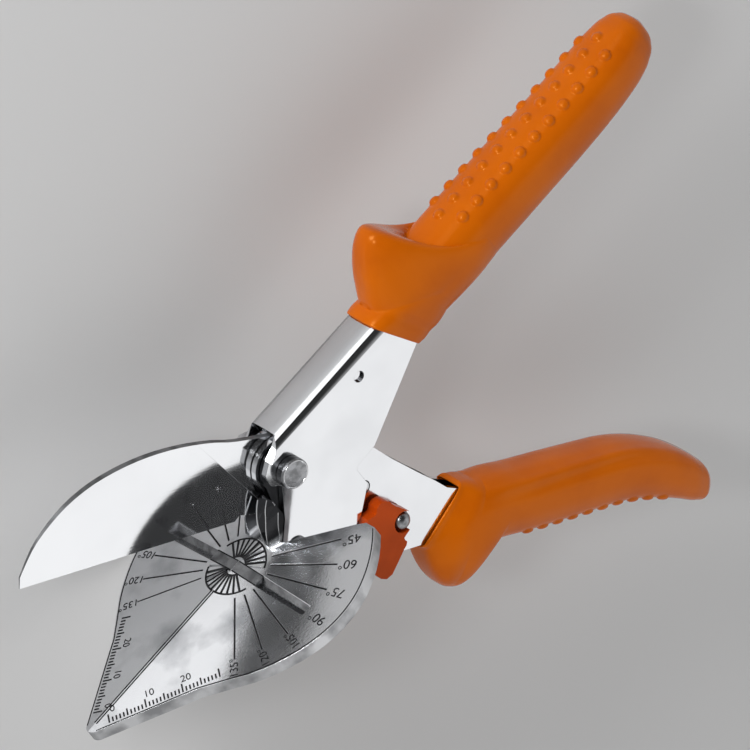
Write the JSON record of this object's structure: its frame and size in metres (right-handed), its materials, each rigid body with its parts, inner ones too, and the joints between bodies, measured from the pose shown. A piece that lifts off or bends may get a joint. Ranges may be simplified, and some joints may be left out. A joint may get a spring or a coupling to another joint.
{
  "type": "mitre shears",
  "caption": "Hand-held mitre shears: a sprung curved-back blade closes on an anvil plate engraved with mitre angles, worked by two pressed steel handles with moulded grips and a safety catch.",
  "frame": {"origin": "middle of the underside of the bounding box, the tool lying on its side with its jaws sprung open", "axes": "+X from the anvil's nose back along the upper handle, +Y from the anvil's face towards the blade, +Z across the tool, up, to the side with the pivot bolt's head"},
  "size_m": [0.2222, 0.1576, 0.0732],
  "materials": {
    "plated_steel": "bright plated pressed steel, cut edges rougher",
    "casting": "plated casting, fine satin, engraving filled dark",
    "blade_steel": "mirror polished",
    "fastener": "bright plated",
    "spring_wire": "plain drawn wire",
    "soft_grip": "glossy soft moulding",
    "catch_plastic": "satin moulded plastic"
  },
  "bodies": {
    "upper_side": {"upper_handle": "plated_steel", "upper_grip": "soft_grip", "anvil": "casting", "anvil_pin_front": "fastener", "anvil_pin_rear": "fastener", "pivot_bolt": "fastener", "pivot_washer": "fastener", "pivot_nut": "fastener"},
    "lower_side": {"lower_handle": "plated_steel", "lower_grip": "soft_grip", "blade": "blade_steel", "blade_rivet_front": "fastener", "blade_rivet_rear": "fastener", "spring_post": "fastener", "return_spring": "spring_wire", "catch_rivet": "fastener", "catch_washer": "fastener"},
    "catch": {"safety_catch": "catch_plastic"}
  },
  "joints": [
    {"name": "handle_pivot", "type": "hinge", "parent": "upper_side", "child": "lower_side", "pos_m": [-0.03165, 0.03648, 0.03661], "axis": [0, 0, 1], "range_deg": [0, 36.2], "stiffness_Nm_per_rad": 0.25, "springref_deg": -34.38, "deforming": ["return_spring"]},
    {"name": "catch_turn", "type": "hinge", "parent": "lower_side", "child": "catch", "pos_m": [-0.01746, -0.00204, 0.03661], "axis": [0, 0, 1], "range_deg": [-35, 0]}
  ]
}
